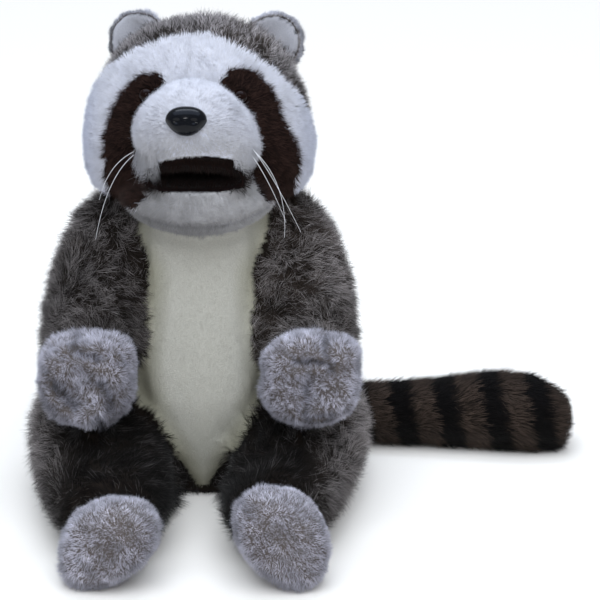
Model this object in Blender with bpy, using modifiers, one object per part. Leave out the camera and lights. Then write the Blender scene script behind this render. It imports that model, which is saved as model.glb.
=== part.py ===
"""A sitting plush raccoon: stuffed fabric forms with a plastic nose and eyes.

Metres, +Z up. The toy sits on the floor at z = 0, faces -Y, and has its own left on +X.
The origin is on the floor, under the middle of the seat. Every outline is that of the
pile's tips. Forms are lofted as coarse cages, rounded by Subdivision Surface, and parted
from their neighbours by a thin cut.
"""

import math

import bmesh
import bpy
from mathutils import Euler, Vector

MM = 0.001
GAP = 0.4 * MM  # between two pieces that touch
FLOOR_REACH = Vector((400, 400, 60)) * MM  # of the block that cuts the floor flats

# Driving sizes of the whole toy
SEAT_HALF_WIDTH = 93 * MM
SEAT_HALF_DEPTH = 64 * MM
HEAD_CENTRE = Vector((0, -8, 247)) * MM
HEAD_HALF = Vector((75, 61, 64)) * MM
HEAD_LIFT = math.radians(28)  # the face looks up by this much
HEAD_TURN = math.radians(2.5)  # and towards the toy's right
ARM_OUT = {"left": 65 * MM, "right": 67 * MM}
PAW_OUT = {"left": 70 * MM, "right": 68 * MM}
HIP_OUT = {"left": 65 * MM, "right": 70 * MM}
FOOT_OUT = {"left": 48 * MM, "right": 43.5 * MM}
TAIL_RADIUS = 22 * MM

UP = Vector((0, 0, 1))
BACK = Vector((0, 1, 0))
ACROSS = Vector((1, 0, 0))
SIDES = {"left": 1, "right": -1}  # the toy's own left is on +X

COLOURS = {
    "brown_grey_pile": ((0.11, 0.095, 0.088), 0.95),
    "white_pile": ((0.66, 0.67, 0.70), 0.9),
    "cream_velour": ((0.62, 0.61, 0.56), 0.9),
    "pale_grey_pile": ((0.34, 0.34, 0.37), 0.95),
    "dark_brown_pile": ((0.03, 0.02, 0.017), 0.95),
    "tail_pile": ((0.035, 0.028, 0.024), 0.95),
    "black_plastic": ((0.012, 0.012, 0.015), 0.15),
    "amber_plastic": ((0.09, 0.02, 0.01), 0.08),
}


# Scene, materials and the shared ways of making a form
def clear_scene():
    """Start from an empty scene."""
    for obj in list(bpy.data.objects):
        bpy.data.objects.remove(obj, do_unlink=True)


def new_collection(name):
    collection = bpy.data.collections.new(name)
    bpy.context.scene.collection.children.link(collection)
    return collection


def material(name):
    found = bpy.data.materials.get(name)
    if found:
        return found
    (red, green, blue), roughness = COLOURS[name]
    made = bpy.data.materials.new(name)
    made.use_nodes = True
    shader = made.node_tree.nodes["Principled BSDF"]
    shader.inputs["Base Color"].default_value = (red, green, blue, 1)
    shader.inputs["Roughness"].default_value = roughness
    return made


clear_scene()
TOY = new_collection("plush_raccoon")
CUTTERS = new_collection("cutters")


def add_object(name, bm, finish, levels=0, parent=None):
    """The bmesh as a named object of the toy, rounded by Subdivision Surface."""
    bmesh.ops.recalc_face_normals(bm, faces=bm.faces[:])
    mesh = bpy.data.meshes.new(name)
    bm.to_mesh(mesh)
    bm.free()
    mesh.shade_smooth()
    obj = bpy.data.objects.new(name, mesh)
    TOY.objects.link(obj)
    obj.data.materials.append(material(finish))
    if parent:
        obj.parent = parent
    if levels:
        rounding = obj.modifiers.new("rounding", "SUBSURF")
        rounding.levels = levels
        rounding.render_levels = levels
    # A grown copy then has the same facets, so the gap to it is even.
    facets = obj.modifiers.new("facets", "TRIANGULATE")
    facets.quad_method = "FIXED"
    return obj


def oval(angle, half_width, half_height, step=0.0, fullness=2.0):
    """A point of an oval section, the same at every step. A fullness over 2 is squarer."""
    reach = 2 / fullness
    across, along = math.cos(angle), math.sin(angle)
    return (
        half_width * math.copysign(abs(across) ** reach, across),
        half_height * math.copysign(abs(along) ** reach, along),
    )


def loft(
    name, sections, finish, upright=UP, axis=None, count=12, levels=1, parent=None, shape=None
):
    """A closed stuffed form through oval sections.

    sections: (centre, half width, half height), from one end to the other.
    upright: the direction that a section's height lies nearest to.
    axis: the way that every section faces. Without it, each faces along the line of centres.
    shape: shape(angle, half_width, half_height, step) -> (across, along), in place of a
    plain oval. The step runs from 0 at the first section to 1 at the last.
    """
    shape = shape or oval
    # Subdivision pulls a ring of count points in by this much.
    swell = 3 / (2 + math.cos(2 * math.pi / count))
    centres = [Vector(centre) for centre, _, _ in sections]
    bm = bmesh.new()
    rings = []
    for i, (_, half_width, half_height) in enumerate(sections):
        run = axis or centres[min(i + 1, len(centres) - 1)] - centres[max(i - 1, 0)]
        run = run.normalized()
        across = run.cross(upright).normalized()
        along = across.cross(run).normalized()
        step = i / (len(sections) - 1)
        ring = []
        for k in range(count):
            angle = 2 * math.pi * k / count
            a, b = shape(angle, half_width * swell, half_height * swell, step)
            ring.append(bm.verts.new(centres[i] + across * a + along * b))
        rings.append(ring)
    for low, high in zip(rings, rings[1:]):
        for k in range(count):
            n = (k + 1) % count
            bm.faces.new((low[k], low[n], high[n], high[k]))
    bm.faces.new(rings[0])
    bm.faces.new(rings[-1])
    return add_object(name, bm, finish, levels, parent)


def solid_copy(obj, name, grow=0.0):
    """A hidden mesh copy of a finished form, grown by grow, for use as a cutter."""
    graph = bpy.context.evaluated_depsgraph_get()
    mesh = bpy.data.meshes.new_from_object(obj.evaluated_get(graph))
    copy = bpy.data.objects.new(name, mesh)
    copy.matrix_world = obj.matrix_world
    CUTTERS.objects.link(copy)
    copy.hide_render = True
    copy.display_type = "WIRE"
    if grow:
        swelling = copy.modifiers.new("grow", "DISPLACE")
        swelling.strength = grow
        swelling.mid_level = 0
    return copy


def move_to_cutters(obj):
    """Take the object out of the toy and hide it."""
    TOY.objects.unlink(obj)
    CUTTERS.objects.link(obj)
    obj.hide_render = True
    obj.display_type = "WIRE"


def cutter_from(name, bm):
    """A hidden cutter made from a bmesh."""
    obj = add_object(name, bm, "brown_grey_pile")
    move_to_cutters(obj)
    return obj


def boolean(obj, other, operation="DIFFERENCE"):
    """A Boolean step on obj, named after the other object."""
    step = obj.modifiers.new(f"{operation.lower()}_{other.name}", "BOOLEAN")
    step.operation = operation
    step.object = other


def block(name, low, high):
    """A hidden box between two corners."""
    bm = bmesh.new()
    bmesh.ops.create_cube(bm, size=1)
    bmesh.ops.scale(bm, vec=high - low, verts=bm.verts)
    bmesh.ops.translate(bm, vec=(low + high) / 2, verts=bm.verts)
    return cutter_from(name, bm)


# The top of this block is the floor. It cuts the flats that the toy rests on.
FLOOR = block("floor_cut", -FLOOR_REACH, Vector((FLOOR_REACH.x, FLOOR_REACH.y, 0)))

# The face's own parts hang on this empty, with -Y as the way the face looks.
head_pose = bpy.data.objects.new("head_pose", None)
head_pose.location = HEAD_CENTRE
head_pose.rotation_euler = Euler((-HEAD_LIFT, 0, -HEAD_TURN))
TOY.objects.link(head_pose)


# Trunk: a pear that sits flat on the floor
TRUNK_SIDES = 10
TRUNK_RISE = (  # height, share of the seat's width, share of its depth, centre in y
    (-12, 0.84, 0.82, -3),
    (14, 1.00, 0.97, -3),
    (46, 1.00, 1.01, -4),
    (88, 0.86, 0.99, -5),
    (130, 0.69, 0.90, -7),
    (170, 0.57, 0.77, -9),
    (204, 0.42, 0.56, -10),
)


def make_trunk(name="trunk", inset=0.0, levels=1):
    """The trunk, or a core of it whose sections are drawn in by inset."""
    sections = [
        (
            Vector((0, middle, height)) * MM,
            SEAT_HALF_WIDTH * width - inset,
            SEAT_HALF_DEPTH * depth - inset,
        )
        for height, width, depth, middle in TRUNK_RISE
    ]
    return loft(
        name, sections, "brown_grey_pile", upright=BACK, count=TRUNK_SIDES, levels=levels
    )


# Belly: the cream panel let into the trunk's front, from the throat to a point at the crotch
BELLY_THICKNESS = 10 * MM
BELLY_DEPTH = 30 * MM  # the panel lies all in front of this depth
BELLY_EDGE = (  # height, half width
    (215, 40),
    (165, 35),
    (140, 33),
    (104, 37),
    (80, 37),
    (56, 29),
    (34, 17),
    (5, 3),
)


def belly_space(name, gap):
    """The panel's outline as a prism out past the trunk's front, less the trunk's core."""
    bm = bmesh.new()
    left = [
        Vector((half * MM + gap, gap - BELLY_DEPTH, height * MM - gap))
        for height, half in BELLY_EDGE
    ]
    right = [Vector((-p.x, p.y, p.z)) for p in reversed(left)]
    face = bm.faces.new([bm.verts.new(p) for p in left + right])
    pushed = bmesh.ops.extrude_face_region(bm, geom=[face])["geom"]
    front = [v for v in pushed if isinstance(v, bmesh.types.BMVert)]
    bmesh.ops.translate(bm, vec=(0, -2 * SEAT_HALF_DEPTH, 0), verts=front)
    space = cutter_from(name, bm)
    core = make_trunk(f"{name}_core", BELLY_THICKNESS + gap, levels=0)
    move_to_cutters(core)
    boolean(space, core)
    return space


# Head: a wide ball whose cheeks are fuller than its crown
HEAD_ROUND = (  # share of the half depth, front to back, and the section's share of full size
    (-0.98, 0.34),
    (-0.74, 0.74),
    (-0.24, 0.99),
    (0.32, 0.96),
    (0.80, 0.62),
    (0.98, 0.25),
)
CROWN_FULLNESS = 2.2
CHEEK_FULLNESS = 4.2
CHEEK = 0.13  # the foot of a section is wider by this share, and its top narrower


def cheeky_oval(angle, half_width, half_height, step):
    """The head's section: squarer and wider below."""
    fullness = CROWN_FULLNESS if math.sin(angle) > 0 else CHEEK_FULLNESS
    across, along = oval(angle, half_width, half_height, step, fullness)
    return across * (1 - CHEEK * math.sin(angle)), along


def make_head():
    sections = [
        (Vector((0, depth * HEAD_HALF.y, 0)), HEAD_HALF.x * size, HEAD_HALF.z * size)
        for depth, size in HEAD_ROUND
    ]
    return loft(
        "head", sections, "white_pile", count=12, parent=head_pose, shape=cheeky_oval
    )


# Muzzle: a broad, blunt bulge low on the face, with a jowl at each side of the mouth
MUZZLE_DROP = -29 * MM  # its middle below the head's
MUZZLE_RUN = (  # forward of the head's centre, half width, half height
    (32, 40, 30),
    (58, 42, 31.5),
    (79, 36, 27),
    (92, 19, 15),
    (94.5, 6, 5),
)
JOWL_ANGLE = math.radians(56)  # below the horizontal, at each side
JOWL_SPREAD = math.radians(24)
JOWL_SHARE = 0.36  # a jowl's drop, of the half height
JOWL_OUT = 0.3  # how much of that share it also goes outwards
MUZZLE_FULLNESS = 2.2


def jowled_oval(angle, half_width, half_height, step):
    """The muzzle's section, with the two jowls swelling out below."""
    across, along = oval(angle, half_width, half_height, step, MUZZLE_FULLNESS)
    swell = 0
    for middle in (-JOWL_ANGLE, -math.pi + JOWL_ANGLE):
        apart = math.remainder(angle - middle, 2 * math.pi)
        swell += JOWL_SHARE * math.exp(-((apart / JOWL_SPREAD) ** 2))
    return across * (1 + JOWL_OUT * swell), along * (1 + swell)


def make_muzzle():
    sections = [
        (Vector((0, -forward * MM, MUZZLE_DROP)), width * MM, height * MM)
        for forward, width, height in MUZZLE_RUN
    ]
    return loft(
        "muzzle", sections, "white_pile", count=12, parent=head_pose, shape=jowled_oval
    )


# Jaw: a broad flat cushion under the mouth. It stays level while the head looks up.
JAW_RUN = (  # forward of the origin, height, half width, half height
    (14, 196, 47, 19),
    (46, 199.5, 53, 24),
    (77, 203, 47, 24),
    (97, 205.5, 28, 16.5),
    (102, 206, 12, 8),
)


def make_jaw():
    sections = [
        (Vector((0, -forward, middle)) * MM, width * MM, height * MM)
        for forward, middle, width, height in JAW_RUN
    ]
    return loft("jaw", sections, "white_pile", axis=-BACK, count=10)


# Mouth: a wedge that opens forward, lined with a folded board covered in dark pile
MOUTH_HALF_WIDTH = 31 * MM
MOUTH_BACK = 48 * MM  # the fold, forward of the origin
MOUTH_FRONT = 125 * MM  # past the lips
MOUTH_FOLD_HEIGHT = 218 * MM
MOUTH_FOLD = 4.5 * MM  # half the height of the space at the fold
MOUTH_RISE = 19 * MM  # of the palate over the whole run
MOUTH_FLOOR_RISE = 2.5 * MM
MOUTH_CORNER_SHARE = 0.45  # how far it opens at its corners
MOUTH_CORNER_FORWARD = 12 * MM  # the fold curves forward to its corners, and up
MOUTH_CORNER_UP = 3 * MM
MOUTH_STEPS = (-1, -0.86, -0.5, 0, 0.5, 0.86, 1)
LINING = 3 * MM
LINING_FRONT = 97 * MM  # the board ends here, just behind the lips


def mouth_wedge(inset=0.0):
    """The space between palate and jaw, as a loft from one mouth corner to the other."""
    bm = bmesh.new()
    rows = []
    for step in MOUTH_STEPS:
        share = 1 - (1 - MOUTH_CORNER_SHARE) * step**2
        back = -MOUTH_BACK - MOUTH_CORNER_FORWARD * step**2 - inset
        middle = MOUTH_FOLD_HEIGHT + MOUTH_CORNER_UP * step**2
        outline = (
            (back, middle + MOUTH_FOLD - inset),
            (-MOUTH_FRONT, middle + MOUTH_RISE * share + MOUTH_FOLD - inset),
            (-MOUTH_FRONT, middle + MOUTH_FLOOR_RISE * share - MOUTH_FOLD + inset),
            (back, middle - MOUTH_FOLD + inset),
        )
        across = step * (MOUTH_HALF_WIDTH - inset)
        rows.append([bm.verts.new((across, y, z)) for y, z in outline])
    for low_row, high_row in zip(rows, rows[1:]):
        for k in range(4):
            n = (k + 1) % 4
            bm.faces.new((low_row[k], low_row[n], high_row[n], high_row[k]))
    bm.faces.new(rows[0])
    bm.faces.new(rows[-1])
    return bm


def make_mouth_lining():
    """The folded board: the wedge's shell, cut off behind the lips so that its front is open."""
    board = add_object("mouth_lining", mouth_wedge(), "dark_brown_pile")
    boolean(board, cutter_from("mouth_space", mouth_wedge(LINING)))
    reach = Vector((MOUTH_HALF_WIDTH * 2, 0, 0))
    low = Vector((0, -MOUTH_FRONT * 2, 0)) - reach
    high = Vector((0, -LINING_FRONT, 2 * MOUTH_FOLD_HEIGHT)) + reach
    boolean(board, block("lips", low, high))
    return board


# Nose and eyes: moulded plastic buttons with their backs cut to the face
NOSE_HALF = Vector((12.5, 7.5, 9)) * MM
NOSE_PLACE = Vector((0, -93, -33)) * MM
NOSE_NARROWING = 0.32  # from its middle to its foot
NOSTRIL_RADIUS = 2.4 * MM
NOSTRIL_PLACE = Vector((5.5, -7.5, -1.5)) * MM
EYE_RADIUS = 7.5 * MM
EYE_PLACE = Vector((29.5, -54, -5)) * MM


def ball(radius, segments, rings):
    """A coarse ball at the origin, as a bmesh."""
    bm = bmesh.new()
    bmesh.ops.create_uvsphere(bm, u_segments=segments, v_segments=rings, radius=radius)
    return bm


def mirrored(place, sign):
    """The place on the toy's left for sign 1, or on its right for sign -1."""
    return Vector((sign * place.x, place.y, place.z))


def make_nose():
    """A broad button, wide at the top and narrow below, with two nostril hollows."""
    bm = ball(1, 14, 8)
    for vert in bm.verts:
        vert.co.x *= 1 + NOSE_NARROWING * min(vert.co.z, 0)
    bmesh.ops.scale(bm, vec=NOSE_HALF, verts=bm.verts)
    nose = add_object("nose", bm, "black_plastic", parent=head_pose)
    nose.location = NOSE_PLACE
    for side, sign in SIDES.items():
        hollow = cutter_from(f"nostril_{side}", ball(NOSTRIL_RADIUS, 8, 5))
        hollow.parent = head_pose
        hollow.location = NOSE_PLACE + mirrored(NOSTRIL_PLACE, sign)
        boolean(nose, hollow)
    return nose


def make_eye(side, sign):
    """A round button, of which the cuts leave the front dome."""
    bm = ball(EYE_RADIUS, 12, 8)
    eye = add_object(f"eye_{side}", bm, "amber_plastic", parent=head_pose)
    eye.location = mirrored(EYE_PLACE, sign)
    return eye


# Ears: round cups that stand out from the crown's corners, dished at the front
EAR_OUT = {"left": 43.5 * MM, "right": 40 * MM}
EAR_Y = 4 * MM
EAR_Z = 43 * MM
EAR_LEAN = math.radians(36)  # outwards from upright
EAR_TURN = math.radians(12)  # the dish looks a little outwards
EAR_CUP = (  # back to front, half width, half height
    (9, 9, 10),
    (6, 17, 19),
    (-1, 22, 25),
    (-8, 21, 24),
    (-8.5, 16, 19),
    (-4, 9, 11),
)


def make_ear(side, sign):
    sections = [
        (Vector((0, depth, 0)) * MM, width * MM, height * MM)
        for depth, width, height in EAR_CUP
    ]
    ear = loft(
        f"ear_{side}", sections, "pale_grey_pile", axis=-BACK, count=10, parent=head_pose
    )
    ear.location = Vector((sign * EAR_OUT[side], EAR_Y, EAR_Z))
    ear.rotation_euler = Euler((0, sign * EAR_LEAN, sign * EAR_TURN), "YXZ")
    return ear


# Arms: fat sleeves that hang from the shoulders and bend forward
ARM_LINE = (  # outwards from the arm's line, y, z, radius
    (-29, 4, 182, 25),
    (-15, -4, 168, 35),
    (-3, -22, 138, 38),
    (2, -54, 109, 36),
    (3, -86, 100, 30),
    (3, -94, 99.5, 22),
)


def make_arm(side, sign):
    sections = [
        (Vector((sign * (ARM_OUT[side] + out * MM), y * MM, z * MM)), r * MM, r * MM)
        for out, y, z, r in ARM_LINE
    ]
    return loft(f"arm_{side}", sections, "brown_grey_pile", upright=ACROSS, count=8)


# Forepaws: mitts with the fingers curled to the front round a hollow
WRIST_Y = -84 * MM
WRIST_Z = 98 * MM
PAW_FINGERS = 5
PAW_FINGER_TURN = math.radians(20)
PAW_FINGER_SWELL = 0.12
PAW_FULLNESS = 2.1
PAW_RUN = (  # forward of the wrist, radius
    (-3, 26),
    (14, 34.5),
    (33, 34),
    (45, 26),
    (47, 15),
    (42, 6),
)


def make_paw(side, sign):
    """A mitt whose outline swells at each finger."""

    def fingers(angle, half_width, half_height, step):
        swell = PAW_FINGER_SWELL * math.sin(math.pi * step)
        lobe = 1 + swell * math.cos(PAW_FINGERS * (angle - sign * PAW_FINGER_TURN))
        across, along = oval(angle, half_width, half_height, step, PAW_FULLNESS)
        return across * lobe, along * lobe

    wrist = Vector((sign * PAW_OUT[side], WRIST_Y, WRIST_Z))
    sections = [
        (wrist - BACK * forward * MM, radius * MM, radius * MM) for forward, radius in PAW_RUN
    ]
    return loft(
        f"paw_{side}",
        sections,
        "pale_grey_pile",
        axis=-BACK,
        count=2 * PAW_FINGERS,
        shape=fingers,
    )


# Legs: thick haunches that run forward along the floor
LEG_LINE = (  # outwards from the hip's line, y, z, half width, half height
    (-14, 34, 41, 22, 24),
    (0, 14, 43, 42, 41),
    (3, -34, 40, 47, 41),
    (-11, -90, 31, 49, 33),
    (-18, -146, 31, 39, 32),
    (-22, -182, 30, 30, 29),
)


def make_leg(side, sign):
    sections = [
        (Vector((sign * (HIP_OUT[side] + out * MM), y * MM, z * MM)), width * MM, height * MM)
        for out, y, z, width, height in LEG_LINE
    ]
    return loft(f"leg_{side}", sections, "brown_grey_pile", count=8)


# Feet: upright pads, broad above and drawn down and outwards to the heel
FOOT_RUN = (  # y of the section, share of full size
    (-172, 0.72),
    (-182, 0.97),
    (-198, 1.00),
    (-209, 0.76),
    (-212, 0.40),
)
FEET = {  # half width, half height, how far the heel is drawn outwards
    "left": (31, 32.5, 17),
    "right": (32, 29, 20),
}
HEEL_TAPER = 0.22
FOOT_FULLNESS = 2.15
FOOT_SINK = 2 * MM  # how far the floor cuts into the pad


def make_foot(side, sign):
    """An upright pad that tapers to a heel at its outer bottom corner."""
    half_width, half_height, heel_out = (size * MM for size in FEET[side])

    def pad(angle, width, height, step):
        across, along = oval(angle, width, height, step, FOOT_FULLNESS)
        low = ((1 - math.sin(angle)) / 2) ** 2
        # A section that faces -Y has its width along -X.
        draw = -sign * heel_out * low * height / half_height
        return across * (1 - HEEL_TAPER * low) + draw, along

    sections = [
        (
            Vector((sign * FOOT_OUT[side], y * MM, half_height - FOOT_SINK)),
            half_width * share,
            half_height * share,
        )
        for y, share in FOOT_RUN
    ]
    return loft(f"foot_{side}", sections, "pale_grey_pile", count=10, shape=pad)


# Tail: a blunt ringed tube that leaves the back and lies along the floor to the toy's left
TAIL_LINE = (  # x, y, z, share of the radius
    (6, 38, 24, 0.64),
    (36, 44, 22, 0.98),
    (96, 40, 22, 1.02),
    (158, 34, 24, 1.08),
    (203, 30, 29, 1.40),
    (235, 27, 24, 1.22),
    (246, 25, 15, 1.00),
)


def make_tail():
    sections = [
        (Vector((x, y, z)) * MM, TAIL_RADIUS * share, TAIL_RADIUS * share)
        for x, y, z, share in TAIL_LINE
    ]
    return loft("tail", sections, "tail_pile", count=10)


# The forms, whole
trunk = make_trunk()
head = make_head()
muzzle = make_muzzle()
jaw = make_jaw()
mouth_lining = make_mouth_lining()
nose = make_nose()
tail = make_tail()
eyes = [make_eye(side, sign) for side, sign in SIDES.items()]
ears = [make_ear(side, sign) for side, sign in SIDES.items()]
arms = [make_arm(side, sign) for side, sign in SIDES.items()]
paws = [make_paw(side, sign) for side, sign in SIDES.items()]
legs = [make_leg(side, sign) for side, sign in SIDES.items()]
feet = [make_foot(side, sign) for side, sign in SIDES.items()]

# Cutters are copies of the whole forms, taken before any cut
mouth = cutter_from("mouth", mouth_wedge())
bpy.context.view_layer.update()
trunk_cut = solid_copy(trunk, "trunk_cut", GAP)
head_cut = solid_copy(head, "head_cut", GAP)
muzzle_cut = solid_copy(muzzle, "muzzle_cut", GAP)
jaw_cut = solid_copy(jaw, "jaw_cut", GAP)
arm_cuts = [solid_copy(arm, f"{arm.name}_cut", GAP) for arm in arms]
foot_cuts = [solid_copy(foot, f"{foot.name}_cut", GAP) for foot in feet]
leg_cuts = [solid_copy(leg, f"{leg.name}_cut", GAP) for leg in legs]
mouth_cut = solid_copy(mouth, "mouth_cut", GAP)

# The belly panel is the trunk's own front, inside its outline
belly = make_trunk("belly")
belly.data.materials[0] = material("cream_velour")
boolean(belly, belly_space("belly_outline", 0), "INTERSECT")
for cutter in (jaw_cut, head_cut, FLOOR):
    boolean(belly, cutter)

# Each thin cut parts two neighbours
for cutter in (belly_space("belly_cut", GAP), head_cut, jaw_cut, FLOOR):
    boolean(trunk, cutter)
boolean(head, mouth_cut)
for cutter in (head_cut, jaw_cut, mouth_cut):
    boolean(muzzle, cutter)
for cutter in (head_cut, mouth_cut):
    boolean(jaw, cutter)
boolean(nose, muzzle_cut)
for eye in eyes:
    for cutter in (head_cut, muzzle_cut):
        boolean(eye, cutter)
for ear in ears:
    boolean(ear, head_cut)
for arm, leg_cut in zip(arms, leg_cuts):
    for cutter in (trunk_cut, head_cut, jaw_cut, leg_cut):
        boolean(arm, cutter)
for paw, arm_cut in zip(paws, arm_cuts):
    for cutter in (trunk_cut, arm_cut):
        boolean(paw, cutter)
for leg, foot_cut in zip(legs, foot_cuts):
    for cutter in (trunk_cut, foot_cut, FLOOR):
        boolean(leg, cutter)
for foot in feet:
    boolean(foot, FLOOR)
for cutter in (trunk_cut, *leg_cuts, FLOOR):
    boolean(tail, cutter)
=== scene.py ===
import math

import bpy
import numpy as np
from mathutils import Euler, Matrix, Vector
from mathutils.bvhtree import BVHTree
from mathutils.kdtree import KDTree


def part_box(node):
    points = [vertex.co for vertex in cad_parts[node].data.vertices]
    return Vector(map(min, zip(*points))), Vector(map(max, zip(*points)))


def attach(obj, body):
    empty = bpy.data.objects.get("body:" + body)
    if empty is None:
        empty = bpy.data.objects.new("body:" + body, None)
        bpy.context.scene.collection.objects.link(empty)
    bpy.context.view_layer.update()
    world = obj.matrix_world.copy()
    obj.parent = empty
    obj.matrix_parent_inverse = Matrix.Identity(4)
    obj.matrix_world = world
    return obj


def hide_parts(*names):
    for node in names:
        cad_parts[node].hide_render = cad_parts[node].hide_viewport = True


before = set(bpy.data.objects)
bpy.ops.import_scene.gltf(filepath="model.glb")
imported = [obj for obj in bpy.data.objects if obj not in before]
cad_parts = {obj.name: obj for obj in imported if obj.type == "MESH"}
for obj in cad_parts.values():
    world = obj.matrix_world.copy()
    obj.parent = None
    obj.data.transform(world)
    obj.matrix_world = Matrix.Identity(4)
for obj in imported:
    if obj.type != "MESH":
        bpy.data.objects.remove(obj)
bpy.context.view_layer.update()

MM = 0.001
SIDES = {"left": 1, "right": -1}  # the toy's own left is on +X

# --- Camera ---
# A long lens a little above the toy, level with its chest and square to its front.
CAMERA_TARGET = Vector((63.5, -128, 157)) * MM
CAMERA_DISTANCE = 1.3
CAMERA_RISE = math.radians(18)

away = CAMERA_DISTANCE * Vector((0, -math.cos(CAMERA_RISE), math.sin(CAMERA_RISE)))
bpy.ops.object.camera_add(
    location=CAMERA_TARGET + away, rotation=(math.pi / 2 - CAMERA_RISE, 0, 0)
)
camera = bpy.context.object
camera.data.lens = 130
bpy.context.scene.camera = camera

# --- Skin ---
# The sewn and stuffed shell under the pile, from nose to tail in one closed surface. It is
# the solids' forms run together, softened where they meet, and drawn in by the pile's depth.
PLASTIC = ("nose", "eye_left", "eye_right")
WEAVE_SIZE = 2.4 * MM  # the skin's faces
OVERLAP = 0.6 * MM  # closes the thin gaps between neighbours
SOFTENING = 7
PILE_DEPTH = dict(  # mm
    trunk=6.5, arm=6.5, leg=6.5, paw=3.8, foot=1.8, tail=4.2,
    head=3.6, muzzle=3.6, jaw=3.6, ear=2.6, belly=1.8, mouth=1.0,
)
PRESSED = 0.3  # of its depth is left to pile that the toy sits on
PRESSED_UNDER = 3 * MM
WELD = 0.01 * MM  # joins doubled corners


def take(*chosen):
    """Makes those objects the only selected ones, and the first of them active."""
    for obj in bpy.context.selected_objects:
        obj.select_set(False)
    for obj in chosen:
        obj.select_set(True)
    bpy.context.view_layer.objects.active = chosen[0]


def apply_modifiers(obj):
    take(obj)
    for modifier in list(obj.modifiers):
        bpy.ops.object.modifier_apply(modifier=modifier.name)


def joined(parts, name):
    """The objects as one, with that name."""
    take(*parts)
    bpy.ops.object.join()
    parts[0].name = parts[0].data.name = name
    return parts[0]


def numbers(collection, key, width, kind=np.float32):
    """That property of every item."""
    found = np.empty(len(collection) * width, kind)
    collection.foreach_get(key, found)
    return found.reshape(-1, width)


flesh = sorted(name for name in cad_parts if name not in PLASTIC)
flesh_points, flesh_faces, flesh_names = [], [], []
copies = []
for name in flesh:
    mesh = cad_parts[name].data
    start = len(flesh_points)
    flesh_points += [vert.co.copy() for vert in mesh.vertices]
    flesh_faces += [[start + i for i in face.vertices] for face in mesh.polygons]
    flesh_names += [name] * len(mesh.polygons)

    copy = bpy.data.objects.new(f"skin_{name}", mesh.copy())
    bpy.context.scene.collection.objects.link(copy)
    take(copy)
    bpy.ops.object.mode_set(mode="EDIT")
    bpy.ops.mesh.select_all(action="SELECT")
    bpy.ops.mesh.remove_doubles(threshold=WELD)
    bpy.ops.object.mode_set(mode="OBJECT")
    swell = copy.modifiers.new("overlap", "DISPLACE")
    swell.strength = OVERLAP
    swell.mid_level = 0
    apply_modifiers(copy)
    copies.append(copy)
flesh_tree = BVHTree.FromPolygons(flesh_points, flesh_faces)
skin = joined(copies, "skin")
skin.data.materials.clear()
weave = skin.modifiers.new("weave", "REMESH")
weave.mode = "VOXEL"
weave.voxel_size = WEAVE_SIZE
soften = skin.modifiers.new("soften", "SMOOTH")
soften.factor = 0.5
soften.iterations = SOFTENING
apply_modifiers(skin)


PAW_FRONT = 8  # mm behind a mitt's middle, where its front ends
PAW_SIDE = 45  # mm from its middle, past its sides
PAW_LOW = -26  # mm from its middle, below which the long pile of the leg closes round it


def paw_flat(points, side):
    """Each point's place across and up from that mitt's middle, and whether it is in front."""
    low, high = np.array(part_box(f"paw_{side}"))
    away = (points - (low + high) / 2) / MM
    return away[:, [0, 2]], (away[:, 1] < PAW_FRONT) & (np.abs(away[:, 0]) < PAW_SIDE)


def nearest_nodes(points):
    """The name of the solid that each point lies nearest to."""
    names = np.array([flesh_names[flesh_tree.find_nearest(Vector(p))[2]] for p in points])
    for side in SIDES:
        names[(names == f"paw_{side}") & (paw_flat(points, side)[0][:, 1] < PAW_LOW)] = f"leg_{side}"
    return names


def families_of(names):
    """The first word of each name."""
    return np.array([name.split("_")[0] for name in names])


def spread(values, edges, rounds):
    """Values of points, evened out along the edges."""
    count = len(values)
    shared = np.bincount(edges.ravel(), minlength=count)
    for _ in range(rounds):
        total = np.bincount(edges[:, 0], values[edges[:, 1]], count)
        total += np.bincount(edges[:, 1], values[edges[:, 0]], count)
        values = (values + total / np.maximum(shared, 1)) / 2
    return values


rng = np.random.default_rng(7)
NOISE_WAVES = rng.normal(size=(12, 3))
NOISE_STARTS = rng.uniform(0, 2 * math.pi, len(NOISE_WAVES))
NOISE_PITCH = 2.2  # sets the humps' size
NOISE_HEIGHT = 3.5  # of the waves' sum at its humps


def waver(points, size, shift=0.0):
    """Smooth noise from about -1 to 1, with humps of that size."""
    phase = (points / size) @ NOISE_WAVES.T * NOISE_PITCH + NOISE_STARTS + shift
    return np.sin(phase).sum(axis=1) / NOISE_HEIGHT


def ramp(values, none, full, least=0):
    """How far each value has come from none to full, from least to 1."""
    return np.clip((values - none) / (full - none), least, 1)


def hump(away, size):
    """1 at no distance, and next to nothing at twice that size."""
    return np.exp(-((away / size) ** 2))


surface = numbers(skin.data.vertices, "co", 3)
outward = numbers(skin.data.vertices, "normal", 3)
skin_edges = numbers(skin.data.edges, "vertices", 2, np.int32)
nodes_there = nearest_nodes(surface)
families = families_of(nodes_there)
depth = np.array([PILE_DEPTH[family] for family in families]) * MM
faces_down = outward[:, 2] < -0.5
depth[(surface[:, 2] < PRESSED_UNDER) & faces_down] *= PRESSED
depth = spread(depth, skin_edges, rounds=6)

# --- Where the face is ---
# The head looks up and a little to the toy's right. Its own frame has -Y out of the face.
HEAD_LIFT = math.radians(28)
HEAD_TURN = math.radians(2.5)
HEAD_CENTRE = Vector((0, -8, 247)) * MM
HEAD_FRAME = Matrix.Translation(HEAD_CENTRE) @ Euler((-HEAD_LIFT, 0, -HEAD_TURN)).to_matrix().to_4x4()


def in_frame(points, matrix):
    """The points as the frame of that matrix sees them, in mm."""
    back = np.array(matrix.inverted())
    return (points @ back[:3, :3].T + back[:3, 3]) / MM


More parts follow.
